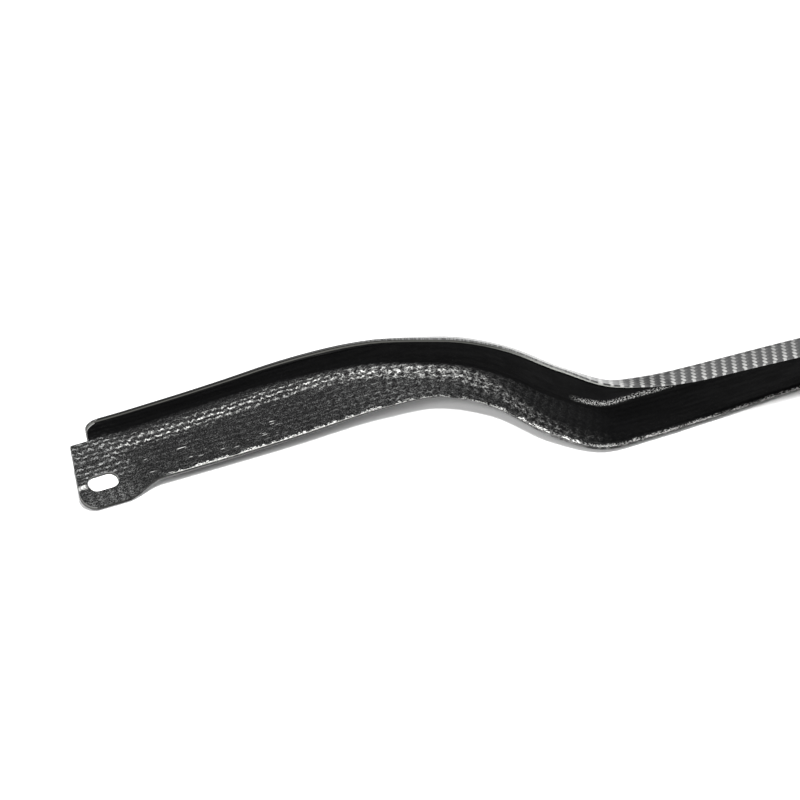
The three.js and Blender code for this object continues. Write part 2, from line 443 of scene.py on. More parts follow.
class Term:
    """A value in a material's node tree. Arithmetic on terms adds Math nodes."""

    def __init__(self, shader: Shader, socket: bpy.types.NodeSocket) -> None:
        """Wraps an output socket of a node in the shader's tree."""
        self.shader = shader
        self.socket = socket

    def math(self, operation: str, *others: Number) -> Term:
        """The result of a Math node whose first input is this term."""
        return self.shader.math(operation, self, *others)

    def __add__(self, other: Number) -> Term:
        """Sum."""
        return self.math("ADD", other)

    __radd__ = __add__

    def __sub__(self, other: Number) -> Term:
        """Difference."""
        return self.math("SUBTRACT", other)

    def __rsub__(self, other: Number) -> Term:
        """Difference from a number."""
        return self.shader.math("SUBTRACT", other, self)

    def __mul__(self, other: Number) -> Term:
        """Product."""
        return self.math("MULTIPLY", other)

    __rmul__ = __mul__

    def __truediv__(self, other: Number) -> Term:
        """Quotient."""
        return self.math("DIVIDE", other)

    def __pow__(self, other: Number) -> Term:
        """Power."""
        return self.math("POWER", other)

    def __neg__(self) -> Term:
        """Negative."""
        return self.math("MULTIPLY", -1.0)

    def floor(self) -> Term:
        """Whole part."""
        return self.math("FLOOR")

    def fraction(self) -> Term:
        """Part after the point."""
        return self.math("FRACT")

    def wrap(self, span: float) -> Term:
        """Remainder between 0 and span."""
        return self.math("WRAP", span, 0.0)

    def wave(self) -> Term:
        """Sine of whole turns."""
        return (self * math.tau).math("SINE")

    def swell(self) -> Term:
        """The same wave, between 0 and 1."""
        return self.wave() * 0.5 + 0.5

    def size(self) -> Term:
        """Value without its sign."""
        return self.math("ABSOLUTE")

    def highest(self, other: Number) -> Term:
        """The larger of the two."""
        return self.math("MAXIMUM", other)

    def lowest(self, other: Number) -> Term:
        """The smaller of the two."""
        return self.math("MINIMUM", other)

    def between(self, low: float, high: float) -> Term:
        """A smooth share that goes from 0 at low to 1 at high."""
        settings = {"interpolation_type": "SMOOTHSTEP"}
        inputs = {"Value": self, "From Min": low, "From Max": high}
        return self.shader.term("ShaderNodeMapRange", settings, inputs, "Result")

    def before(self, low: float, high: float) -> Term:
        """A smooth share that goes from 1 at low to 0 at high."""
        return 1 - self.between(low, high)


class Shader:
    """One node material. Its methods add nodes and link them."""

    def __init__(self, name: str) -> None:
        """Starts an empty material of that name."""
        self.material = bpy.data.materials.new(name)
        self.material.use_nodes = True
        self.tree = self.material.node_tree
        self.tree.nodes.clear()

    def node(self, kind: str, settings: dict | None = None, inputs: dict | None = None) -> bpy.types.Node:
        """Adds a node.

        Args:
            kind: The node's type.
            settings: Its properties, which are set first. "stops" gives a colour ramp's stops.
            inputs: Values or terms by socket name or number.

        Returns:
            The node.
        """
        made = self.tree.nodes.new(kind)
        for key, value in (settings or {}).items():
            if key == "stops":
                self.set_stops(made.color_ramp, value)
            else:
                setattr(made, key, value)
        for key, value in (inputs or {}).items():
            if isinstance(value, Term):
                self.tree.links.new(value.socket, made.inputs[key])
            else:
                made.inputs[key].default_value = value
        return made

    @staticmethod
    def set_stops(ramp: bpy.types.ColorRamp, stops: list[tuple[float, tuple]]) -> None:
        """Gives a colour ramp its (place, colour) stops."""
        while len(ramp.elements) < len(stops):
            ramp.elements.new(1.0)
        for element, (place, colour) in zip(ramp.elements, stops):
            element.position = place
            element.color = (*colour, 1.0)

    def term(self, kind: str, settings: dict | None, inputs: dict | None, output: str | int = 0) -> Term:
        """Adds a node and returns one of its outputs as a term."""
        return Term(self, self.node(kind, settings, inputs).outputs[output])

    def math(self, operation: str, *values: Number) -> Term:
        """The result of a Math node."""
        return self.term("ShaderNodeMath", {"operation": operation}, dict(enumerate(values)))

    def layer(self, name: str) -> tuple[Term, Term]:
        """Both coordinates of a UV map of the piece, in millimetres."""
        flat = self.term("ShaderNodeUVMap", {"uv_map": name}, None)
        split = self.node("ShaderNodeSeparateXYZ", None, {0: flat})
        return Term(self, split.outputs[0]) / MM, Term(self, split.outputs[1]) / MM

    def point(self, x: Number, y: Number, z: Number = 0.0) -> Term:
        """A vector of three values."""
        return self.term("ShaderNodeCombineXYZ", None, {0: x, 1: y, 2: z})

    def grain(self, where: Term, detail: float = 2.0, roughness: float = 0.5) -> Term:
        """Noise of unit size at a vector, from 0 to 1."""
        inputs = {"Vector": where, "Scale": 1.0, "Detail": detail, "Roughness": roughness}
        return self.term("ShaderNodeTexNoise", {"noise_dimensions": "3D"}, inputs, 0)

    def blend(self, share: Number, low: Term | tuple, high: Term | tuple) -> Term:
        """A colour between two colours."""
        made = self.node("ShaderNodeMix", {"data_type": "RGBA"}, {0: share})
        for socket, colour in ((6, low), (7, high)):
            if isinstance(colour, Term):
                self.tree.links.new(colour.socket, made.inputs[socket])
            else:
                made.inputs[socket].default_value = (*colour, 1.0)
        return Term(self, made.outputs[2])

    def bump(self, height: Term, depth: float, under: Term | None = None) -> Term:
        """A surface normal bumped by a height of 0 to 1, whose full depth is in metres."""
        inputs = {"Height": height, "Distance": depth, "Strength": 1.0}
        if under is not None:
            inputs["Normal"] = under
        return self.term("ShaderNodeBump", None, inputs)

    def surface(self, inputs: dict) -> bpy.types.Material:
        """Ends the material in a Principled BSDF with these inputs."""
        skin = self.term("ShaderNodeBsdfPrincipled", None, inputs)
        self.node("ShaderNodeOutputMaterial", None, {"Surface": skin})
        return self.material


# ---------------------------------------------------------------------------------------------
# Finishes
# ---------------------------------------------------------------------------------------------


@dataclass(frozen=True)
class Twill:
    """A 2x2 twill cloth of flat tows that run at 45 degrees to its edges."""

    tow: float = 2.0

    def floats(self, shader: Shader, u: Term, v: Term) -> tuple[Term, Term]:
        """The cloth's relief.

        Args:
            shader: The material it is for.
            u: Distance along the cloth's edge, in millimetres.
            v: Distance across it.

        Returns:
            The height of the warp tows and of the weft tows, each above 0 where it lies on top.
        """
        turn = self.tow * math.sqrt(2)
        warp = (u + v) / turn
        weft = (v - u) / turn
        warp_turn = (weft - warp.floor()).wrap(4.0) / 4
        weft_turn = (weft.floor() - warp).wrap(4.0) / 4
        over = warp_turn.wave() * self.crown(warp)
        under = weft_turn.wave() * self.crown(weft)
        return over, -under

    @staticmethod
    def crown(across: Term) -> Term:
        """Rounded height across one tow."""
        side = across.fraction() * 2 - 1
        return 1 - side * side * 0.75


class Place:
    """Where a point lies on its ply, read from the ply's UV maps: in millimetres, and degrees turned."""

    def __init__(self, shader: Shader) -> None:
        """Adds the nodes that read the maps."""
        self.along, self.run = shader.layer("lay")
        self.low, self.high = shader.layer("rim")
        self.turned, across = shader.layer("turn")
        self.fold = shader.layer("fold")[0]
        self.far = across.size()


@dataclass(frozen=True)
class GlossyTwill:
    """The face ply's clear-coated 2x2 twill, lit by painted glints on its floats, with a flat painted
    sheen where the flange is narrow, and dull on the wing's top.
    """

    resin: tuple = (0.04, 0.04, 0.041)
    # sheen is the colour of the painted highlights on the floats and on the narrow flange.
    sheen: tuple = (0.46, 0.46, 0.45)
    dusk: tuple = (0.006, 0.006, 0.006)
    tow_depth: float = 0.00012
    narrow_sheen_start: Span = (512.0, 540.0)
    narrow_sheen_fade: Span = (600.0, 680.0)
    dull_start: Span = (620.0, 655.0)
    dull_reach: Span = (5.0, 12.0)
    bright_rim: Span = (1.0, 8.0)

    def material(self) -> bpy.types.Material:
        """Makes the material."""
        shader = Shader("glossy_twill")
        place = Place(shader)
        u, v = shader.layer("cloth")
        waver = shader.grain(shader.point(u / 30, v / 30)) * 0.6
        over, under = Twill().floats(shader, u + waver, v + waver)
        fibres = shader.grain(shader.point((u + v) * 3, (v - u) / 3))
        # Painted highlights: glints on the warp floats, brighter near the flange's free edge, and a faint
        # painted sheen on the weft.
        lit = 0.65 + 0.5 * place.high.before(*self.bright_rim)
        glint = over.between(0.05, 0.75) * (0.55 + 0.7 * fibres) * lit
        shimmer = glint.highest(under.between(0.1, 0.9) * 0.1)
        # Painted sheen on the narrow flange: a flat grey in patches, fading out towards the wing.
        painted_glints = shader.grain(shader.point(u * 0.9, v * 0.9, 8.0), 1.0).between(0.42, 0.6)
        narrow_sheen = (0.4 - place.far.between(*self.narrow_sheen_fade) * 0.35) * (0.45 + 0.75 * painted_glints)
        narrow = place.far.between(*self.narrow_sheen_start)
        dull = place.far.between(*self.dull_start) * place.high.before(*self.dull_reach)
        colour = shader.blend(shimmer * (1 - narrow) + narrow_sheen * narrow, self.resin, self.sheen)
        return shader.surface({
            "Base Color": shader.blend(dull, colour, self.dusk),
            "Roughness": 0.34 + 0.3 * dull,
            "Metallic": 0.35 * (1 - dull),
            "Coat Weight": 0.6 * (1 - dull),
            "Coat Roughness": 0.06,
            "Normal": shader.bump(over.highest(under), self.tow_depth),
        })


@dataclass(frozen=True)
class SawnEdge:
    """The trimmed edge of a ply, dark with resin, where cut fibre shows pale in places, with a painted
    highlight line along the upper cut edges in the middle of the lip.
    """

    name: str
    dark: tuple
    pale: tuple
    lower_edge: Span = (4.8, 7.2)
    flange_end: Span = (540.0, 580.0)
    ear_start: Span = (735.0, 750.0)

    def material(self) -> bpy.types.Material:
        """Makes the material."""
        shader = Shader(self.name)
        place = Place(shader)
        specks = shader.grain(shader.point(place.along * 1.4, place.run), 2.0, 0.7).between(0.42, 0.62)
        patches = shader.grain(shader.point(place.along / 25, 2.0)).between(0.35, 0.6)
        lower = place.run.before(*self.lower_edge)
        # Painted highlight: a steady pale line along the upper cut edges in the middle of the lip.
        upper = (1 - lower) * place.far.before(*self.flange_end) * 0.8
        share = (specks * patches * lower * place.far.before(*self.ear_start) * 0.35).highest(upper)
        return shader.surface({
            "Base Color": shader.blend(share, self.dark, self.pale),
            "Roughness": 0.7,
            "Specular IOR Level": 0.1,
        })


@dataclass(frozen=True)
class BagMarks:
    """Where the bag leaves its marks on the open side, for the inner ply's mesh and its finish.

    Apart from the two pitches, these are distances from the middle of the lip.
    """

    row_pitch: float = 2.83
    knot_pitch: float = 5.66
    bead_ends: tuple[float, float] = (478.0, 536.0)
    toe_end: float = 560.0
    throat: Span = (555.0, 600.0)
    waist: Span = (600.0, 680.0)
    wing: Span = (680.0, 690.0)
    wing_end: Span = (755.0, 758.0)
    joggle: Span = (757.0, 768.0)
    ear_end: Span = (782.0, 790.0)


class BagPrint:
    """The print on the rough cloth, as shares from 0 to 1: rows of knots, threads and wet patches."""

    def __init__(self, shader: Shader, place: Place, marks: BagMarks) -> None:
        """Adds the nodes of the print."""
        along, run = place.along, place.run

        def grain(x: Term, y: Term, seed: float = 0.0, detail: float = 2.0) -> Term:
            """Noise on the cloth."""
            return shader.grain(shader.point(x, y, seed), detail)

        sway = grain(along / 16, run / 7) - 0.5
        self.ripple = grain(along / 4.5, run / 6, 40.0) - 0.5
        tooth = grain(along * 0.6, run / 5, 60.0, 1.0) - 0.5
        row = run / marks.row_pitch + sway * 1.2 + self.ripple * 0.9 + tooth * 1.1
        knot = along / marks.knot_pitch + row.floor() * 0.5 + sway * 1.2
        self.rows = row.swell().between(0.45, 0.9) * (0.14 + knot.swell().between(0.05, 0.7) * 0.86)
        self.speck = grain(along * 0.9, run * 1.5, detail=1.0)
        self.sharp = self.speck.between(0.42, 0.58)
        self.fine = grain(along * 1.5, run * 2.2, 20.0, 1.0).between(0.48, 0.66)
        self.wet = grain(along / 14, run / 3, 7.0).between(0.35, 0.65)
        self.drawn = grain(along / 10, run * 0.9, 30.0).between(0.45, 0.62)
        over, under = Twill().floats(shader, along + sway * 2, run + sway * 2)
        self.hatch = over.highest(under * 0.7).highest(0.0) * self.sharp
        self.woven = self.rows * (0.35 + self.wet * 0.65) * (0.22 + self.sharp)


@dataclass(frozen=True)
class RoughCloth:
    """The inner ply's cloth, resin-wet and printed by the bag, with frayed pale long edges, painted glints
    on its knots and along the fold, and painted shade on steep faces and in the throat.
    """

    name: str = "rough_cloth"
    resin: tuple = (0.002, 0.002, 0.0022)
    # fibre: the fibre that shows through the resin, also painted bright as the glints on the knots and
    # rows.
    fibre: tuple = (0.4, 0.405, 0.4)
    # dry: real dry fibre, fray and smears, and also the painted highlights along the fold, on the bead and
    # on the toe.
    dry: tuple = (0.8, 0.8, 0.78)
    frayed: float = 1.0
    depth: float = 0.0004
    steepness: Span = (38.0, 66.0)
    fray_reach: float = 1.7
    bead_reach: Span = (0.4, 2.8)
    smear_reach: Span = (0.4, 1.4)
    toe_reach: Span = (0.3, 1.5)
    marks: BagMarks = BagMarks()
    ear: Ear = Ear()

    def material(self) -> bpy.types.Material:
        """Makes the material."""
        shader = Shader(self.name)
        place = Place(shader)
        cloth = BagPrint(shader, place, self.marks)
        # Painted shade: the fibre fades to black as the face turns steep, and the throat's blade is
        # painted darker above its lower edge.
        level = place.turned.before(*self.steepness)
        throat = place.far.before(*self.marks.throat)
        fold_glint_band = self.fold_glint_band(place)
        shade = (0.02 + level * 0.98) * (1 - throat * 0.4 * place.low.between(2.0, 9.0))
        threads = (self.threads(place, cloth, fold_glint_band) * shade).lowest(1.0)
        # Pale marks: real fray, streaks and smear, with painted highlights in the band below the fold, on
        # the bead and on the toe.
        pale = (
            self.painted_glints(place, cloth) * fold_glint_band * level
            + self.streaks(shader, place)
            + self.fray(shader, place)
            + self.bead(place) * cloth.speck.between(0.47, 0.62)
            + self.smear(place, cloth) * cloth.sharp.highest(0.35)
            + self.toe(place) * cloth.speck.between(0.45, 0.6)
        )
        colour = shader.blend(threads, self.resin, self.fibre)
        relief = shader.bump(cloth.rows * (0.1 + level), self.depth)
        grit = shader.bump((cloth.speck + cloth.hatch * 0.3) * (0.05 + level), self.depth, relief)
        return shader.surface({
            "Base Color": shader.blend(pale.lowest(1.0), colour, self.dry),
            "Roughness": 0.4 + 0.2 * cloth.wet,
            "Specular IOR Level": 0.05,
            "Normal": grit,
        })

    @staticmethod
    def fold_glint_band(place: Place) -> Term:
        """Share of the band of painted highlight below the fold, which runs down to the lower edge in the
        throat.
        """
        middle = -14.5 + place.far.before(620.0, 720.0) * 4.0 - place.far.before(530.0, 595.0) * 11.0
        return (place.fold - middle).size().before(0.5, 5.5) * place.far.before(757.0, 775.0)

    def threads(self, place: Place, cloth: BagPrint, fold_glint_band: Term) -> Term:
        """Share of the fibre that shows through the resin, painted bright as glints on the knots and rows.
        """
        waist = place.far.before(*self.marks.waist)
        throat = place.far.before(*self.marks.throat)
        on_ear = place.far.between(*self.marks.joggle)
        printed_ear = on_ear * place.far.before(*self.marks.ear_end)
        upper_ear = printed_ear * place.low.between(11.0, 15.0)
        lower_ear = printed_ear * place.low.before(6.0, 9.0)
        # Painted highlight in the band below the fold; the throat is painted darker as shade.
        ridged = 0.12 + fold_glint_band * 0.55 * (1 - throat * 0.4) + upper_ear * 0.9
        ridged += waist * 0.25 - throat * 0.28
        grit = 0.07 + on_ear * 0.1 + cloth.drawn * 0.15
        weave = 0.04 + waist * 0.12 + throat * 0.04 + lower_ear * 0.28
        return cloth.woven * ridged + cloth.fine * grit + cloth.hatch * weave

    def painted_glints(self, place: Place, cloth: BagPrint) -> Term:
        """Share of the painted glints in the band below the fold, fainter in the throat."""
        hatch = cloth.hatch * place.far.before(*self.marks.waist) * 0.4
        share = cloth.woven * 0.85 + hatch + cloth.sharp * cloth.fine * 0.06
        return share * (1 - place.far.before(*self.marks.throat) * 0.4)

    def streaks(self, shader: Shader, place: Place) -> Term:
        """Share of the thin dry streaks along the lower part of the wing's blade."""
        streak = shader.grain(shader.point(place.along / 9, place.run * 1.5, 3.0), 1.0).between(0.69, 0.73)
        on_blade = place.low.between(3.0, 5.0) * place.low.before(12.0, 15.0)
        on_wing = place.far.between(*self.marks.wing) * place.far.before(*self.marks.wing_end)
        return streak * on_blade * on_wing

    def fray(self, shader: Shader, place: Place) -> Term:
        """Share of the pale frayed threads on the lower edge."""
        thread = shader.point(place.along / 1.6, place.run * 1.5, 11.0)
        ragged = shader.grain(thread, 2.0, 0.7).between(0.45, 0.6)
        patchy = shader.grain(shader.point(place.along / 9, 0.0, 5.0)).between(0.44, 0.52)
        reach = self.fray_reach * patchy * ragged + 0.02
        by_throat = place.far.between(508.0, 530.0) * place.far.before(556.0, 575.0)
        share = 0.3 + 0.7 * by_throat + 0.65 * place.far.between(600.0, 650.0)
        return (place.low / reach).before(0.6, 1.0) * share * place.far.before(738.0, 748.0) * self.frayed

    def smear(self, place: Place, cloth: BagPrint) -> Term:
        """Share of the dry smear between the slot and the ear's outboard edge."""
        aside = (place.run + cloth.ripple * 3 - self.ear.slot_height + 0.5).size()
        outboard = place.far.between(self.ear.middle + 8.0, self.ear.middle + 9.5)
        return aside.before(*self.smear_reach) * outboard

    def bead(self, place: Place) -> Term:
        """Share of the painted highlight on the bead of resin that bridges the fold beside the waist."""
        start, end = self.marks.bead_ends
        wide = place.fold.size().before(*self.bead_reach)
        return wide * place.far.between(start - 10, start) * place.far.before(end - 14, end) * 0.85

    def toe(self, place: Place) -> Term:
        """Share of the painted highlight on the turned-in lower edge between the waists."""
        end = self.marks.toe_end
        return place.low.before(*self.toe_reach) * place.far.before(end - 20, end + 10) * 0.3


@dataclass(frozen=True)
class StudioFloor:
    """The matt white sweep that the lip lies on."""

    colour: tuple = (0.9, 0.9, 0.9)

    def material(self) -> bpy.types.Material:
        """Makes the material."""
        look = {"Base Color": (*self.colour, 1.0), "Roughness": 0.9, "Specular IOR Level": 0.1}
        return Shader("studio_floor").surface(look)


# ---------------------------------------------------------------------------------------------
# The plies
# ---------------------------------------------------------------------------------------------

WING_ZONES = (Zone.BLADE, Zone.CREASE, Zone.WALL, Zone.BEND, Zone.FLANGE)
OPEN_SIDE, SAWN_EDGE = 0, 1
SHARP = math.radians(38)


def finished(bm: bmesh.types.BMesh, name: str) -> bpy.types.Object:
    """Ends a bmesh as an object: smooth faces, sharp where two of them meet at a corner.

    Args:
        bm: The mesh. It is freed.
        name: The object's name.

    Returns:
        The object, linked to the scene.
    """
    for face in bm.faces:
        face.smooth = True
    for edge in bm.edges:
        if len(edge.link_faces) == 2:
            edge.smooth = edge.calc_face_angle() < SHARP
    mesh = bpy.data.meshes.new(name)
    bm.to_mesh(mesh)
    bm.free()
    piece = bpy.data.objects.new(name, mesh)
    bpy.context.scene.collection.objects.link(piece)
    return piece


class Outline:
    """A closed line on an ear's axes, drawn point by point and pushed through the ear as a cutter."""

    reach = 40.0
    arc_steps = 12

    def __init__(self, x: float, y: float) -> None:
        """Starts the line at a point."""
        self.bm = bmesh.new()
        self.pen = self.bm.verts.new((x, y, -self.reach))
        self.first = self.pen

    def line(self, x: float, y: float) -> None:
        """Draws a straight line to a point."""
        end = self.bm.verts.new((x, y, -self.reach))
        self.bm.edges.new((self.pen, end))
        self.pen = end

    def arc(self, x: float, y: float, turn: float, squash: float = 1.0) -> None:
        """Draws an arc round a middle.

        Args:
            x: The middle.
            y: The middle.
            turn: Angle turned through, in radians.
            squash: Height of an ellipse's arc as a share of its width.
        """
        middle = Vector((x, y, -self.reach))
        start = self.pen.co.copy()
        start.y = y + (start.y - y) / squash
        self.pen.co = start
        before = set(self.bm.verts)
        made = bmesh.ops.spin(
            self.bm, geom=[self.pen], cent=middle, axis=(0, 0, 1), angle=turn, steps=self.arc_steps,
        )
        drawn = [v for v in self.bm.verts if v not in before] + [self.pen]
        self.pen = next(v for v in made["geom_last"] if isinstance(v, bmesh.types.BMVert))
        for vert in drawn:
            vert.co.y = y + (vert.co.y - y) * squash

    def cutter(self, axes: Matrix) -> bpy.types.Object:
        """Closes the line and pushes it through the ear.

        Args:
            axes: The ear's axes.

        Returns:
            The cutter, whose faces leave a sawn edge.
        """
        if (self.pen.co - self.first.co).length > MM:
            self.bm.edges.new((self.pen, self.first))
        bmesh.ops.remove_doubles(self.bm, verts=self.bm.verts, dist=MM)
        bmesh.ops.contextual_create(self.bm, geom=self.bm.edges[:])
        made = bmesh.ops.extrude_face_region(self.bm, geom=self.bm.faces[:])
        lifted = [v for v in made["geom"] if isinstance(v, bmesh.types.BMVert)]
        bmesh.ops.translate(self.bm, verts=lifted, vec=(0, 0, 2 * self.reach))
        bmesh.ops.transform(self.bm, matrix=axes, verts=self.bm.verts)
        bmesh.ops.recalc_face_normals(self.bm, faces=self.bm.faces)
        for face in self.bm.faces:
            face.material_index = SAWN_EDGE
        return finished(self.bm, "cutter")


@dataclass
class Trimmer:
    """Trims the ends of a laid-up ply to the ears' outlines and cuts the slots."""

    lip: Lip
    offcut: float = 60.0

    def ear_end(self) -> Outline:
        """What is trimmed off beyond the ear's outboard edge and its rounded lower corner."""
        ear = self.lip.ear
        middle_x = ear.low_end - ear.corner_radius
        middle_y = ear.corner_radius - ear.drop
        outline = Outline(ear.top_end, self.offcut)
        outline.line(ear.top_end, ear.top)
        outline.line(ear.low_end, middle_y)
        outline.arc(middle_x, middle_y, -math.pi / 2)
        outline.line(middle_x, -self.offcut)
        outline.line(self.offcut, -self.offcut)
        outline.line(self.offcut, self.offcut)
        return outline

    def wall_end(self) -> Outline:
        """What is trimmed off above the ear, outboard of the wall's end."""
        ear = self.lip.ear
        outline = Outline(ear.wall_end, ear.top)
        outline.line(self.offcut, ear.top)
        outline.line(self.offcut, self.offcut)
        outline.line(ear.wall_end, self.offcut)
        return outline

    def wall_corner(self) -> Outline:
        """What is trimmed off round the top corner of the wall's end, on upright axes."""
        ear = self.lip.ear
        start = ear.wall_end - ear.wall_corner_reach
        foot = ear.wall_top - ear.wall_corner_height
        squash = ear.wall_corner_height / ear.wall_corner_reach
        outline = Outline(self.offcut, foot)
        outline.line(self.offcut, self.offcut)
        outline.line(start, self.offcut)
        outline.line(start, ear.wall_top)
        outline.arc(start, foot, -math.pi / 2, squash)
        return outline

    def slot(self) -> Outline:
        """The oval slot."""
        ear = self.lip.ear
        radius = ear.slot_width / 2
        straight = ear.slot_length / 2 - radius
        outline = Outline(straight, ear.slot_height - radius)
        outline.arc(straight, ear.slot_height, math.pi)
        outline.line(-straight, ear.slot_height + radius)
        outline.arc(-straight, ear.slot_height, math.pi)
        return outline

    def trim(self, piece: bpy.types.Object, sides: tuple[int, ...]) -> None:
        """Trims a ply at one or both ends.

        Args:
            piece: The ply, which keeps its name.
            sides: -1 for the left end, 1 for the right.
        """
        for side in sides:
            plate = self.lip.end_axes(side, self.lip.ear.slope)
            for outline in (self.ear_end(), self.wall_end(), self.slot()):
                self.cut(piece, outline.cutter(plate))
            self.cut(piece, self.wall_corner().cutter(self.lip.end_axes(side, UPRIGHT)))

    @staticmethod
    def cut(piece: bpy.types.Object, cutter: bpy.types.Object) -> None:
        """Takes a cutter's shape out of a piece and removes the cutter."""
        modifier = piece.modifiers.new("cut", "BOOLEAN")
        modifier.operation = "DIFFERENCE"
        modifier.solver = "EXACT"
        modifier.object = cutter
        graph = bpy.context.evaluated_depsgraph_get()
        mesh = bpy.data.meshes.new_from_object(piece.evaluated_get(graph))
        piece.modifiers.clear()
        old = piece.data
        piece.data = mesh
        bpy.data.meshes.remove(old)
        bpy.data.meshes.remove(cutter.data)


@dataclass
class Ply:
    """One ply of the laminate: a closed sheet that follows the mould face at its own depth."""

    name: str
    node: str
    slot: str
    depth: float
    thickness: float
    trim: Course
    mesh: Mesh
    ends: Sequence[float]
    zones: tuple[Zone, ...] = WING_ZONES
    top_share: float = 1.0

    def relief(self, station: Station, run: float, trim: float) -> float:
        """How far the open side stands proud of its even thickness, in millimetres."""
        return 0.0

    def build(self, lip: Lip) -> bpy.types.Object:
        """Lays the ply on the lip.

        Args:
            lip: The lip's mould face.

        Returns:
            The ply, not yet trimmed at the ears.
        """
        rows = self.mesh.ring(self.zones, self.top_share)
        start, end = self.ends
        columns = max(2, round((end - start) / self.mesh.column))
        stations = [lip.station(start + (end - start) * i / columns) for i in range(columns + 1)]
        bm = bmesh.new()
        bmesh.ops.create_grid(bm, x_segments=columns, y_segments=len(rows) - 1, size=0.5)
        grid = {
            vert: (round((vert.co.x + 0.5) * columns), round((vert.co.y + 0.5) * (len(rows) - 1)))
            for vert in bm.verts
        }
        self.mark_sawn_edges(bm, rows, grid)
        maps = [bm.loops.layers.uv.new(name) for name in ("cloth", "lay", "rim", "turn", "fold")]
        for vert, (column, row) in grid.items():
            station = stations[column]
            trim = self.trim.held(abs(station.x))
            spot = station.spot(rows[row], trim)
            depth = self.depth
            if rows[row].open_side:
                depth += self.thickness + self.relief(station, spot.run, trim)
            vert.co = station.place(spot, depth)
            spread = (
                station.on_cloth(spot),
                MM * Vector((station.along, spot.run)),
                self.rim(station, spot, trim),
                MM * Vector((math.degrees(spot.angle), station.x)),
                MM * Vector((spot.run - station.fold_end, 0.0)),
            )
            for loop in vert.link_loops:
                for layer, value in zip(maps, spread):
                    loop[layer].uv = value
        bmesh.ops.remove_doubles(bm, verts=bm.verts, dist=0.01 * MM)
        bmesh.ops.holes_fill(bm, edges=[edge for edge in bm.edges if edge.is_boundary], sides=0)
        bmesh.ops.recalc_face_normals(bm, faces=bm.faces)
        return finished(bm, self.name)

    def mark_sawn_edges(self, bm: bmesh.types.BMesh, rows: list[Row], grid: dict) -> None:
        """Gives the sawn-edge finish to the faces that join the ply's two sides."""
        for face in bm.faces:
            sides = {rows[grid[vert][1]].open_side for vert in face.verts}
            face.material_index = SAWN_EDGE if len(sides) == 2 else OPEN_SIDE

    def rim(self, station: Station, spot: Spot, trim: float) -> Vector:
        """Distances from the ply's lower edge and from its upper edge, in metres."""
        low = station.blade_spot(0.0, trim).run
        high = station.spot(Row(self.zones[-1], self.top_share, True), trim).run
        return MM * Vector((spot.run - low, high - spot.run))


@dataclass
class InnerPly(Ply):
    """The rough cloth ply on the open side, ridged by its tows and by the folds of the bag."""

    marks: BagMarks = BagMarks()
    knot_height: float = 0.22
    lump_height: float = 0.25
    bead_height: float = 0.7
    bead_width: float = 1.3
    toe_height: float = 1.7
    toe_width: float = 2.6

    def relief(self, station: Station, run: float, trim: float) -> float:
        """Rows of knots along the lip, soft lumps, a bead of resin in the fold and a turned-in toe."""
        along = station.along
        sway = noise.noise(Vector((along / 16, run / 9, 0.0)))
        row = (run + 0.9 * sway) / self.marks.row_pitch
        knot = (along + 1.2 * sway) / self.marks.knot_pitch + 0.5 * math.floor(row)
        strength = 0.5 + 0.5 * noise.noise(Vector((along / 22, run / 7, 4.0)))
        knots = strength * (1 + math.cos(math.tau * row)) * (1.4 + math.cos(math.tau * knot)) / 4
        lumps = noise.noise(Vector((along / 13, run / 8, 9.0)))
        height = self.knot_height * knots + self.lump_height * lumps
        return height + self.bead(station, run) + self.toe(abs(station.x), run - trim)

    def bead(self, station: Station, run: float) -> float:
        """Height of the knobbly bead of resin that bridges the fold beside the waist."""
        start, end = self.marks.bead_ends
        far = abs(station.x)
        share = smooth_step(start - 12, start, far) * (1 - smooth_step(end - 14, end, far))
        knobs = 0.75 + 0.5 * noise.noise(Vector((station.along / 2.2, 0.0, 2.0)))
        aside = (run - station.fold_end) / self.bead_width
        return self.bead_height * share * knobs * math.exp(-(aside**2))

    def toe(self, far: float, from_edge: float) -> float:
        """How far the lower edge turns in: not at all on the wing, fully between the waists."""
        share = 1 - smooth_step(self.marks.toe_end - 20, self.marks.toe_end + 15, far)
        return self.toe_height * share * (1 - smooth_step(0.0, self.toe_width, from_edge))


@dataclass
class Finishes:
    """The materials of each ply."""

    def __post_init__(self) -> None:
        """Makes each material once."""
        self.twill = GlossyTwill().material()
        self.cloth = RoughCloth().material()
        self.patch = RoughCloth("patch_cloth", frayed=0.0).material()
        self.glass = SawnEdge("glass_fibre", dark=(0.06, 0.06, 0.055), pale=(0.75, 0.76, 0.72)).material()
        self.edge = SawnEdge("sawn_carbon", dark=(0.02, 0.02, 0.02), pale=(0.85, 0.85, 0.83)).material()

    def edge_of(self, finish: bpy.types.Material) -> bpy.types.Material:
        """The finish of a ply's trimmed edge. Glass cloth and the ear's cloth look alike all over."""
        return finish if finish in (self.glass, self.patch) else self.edge


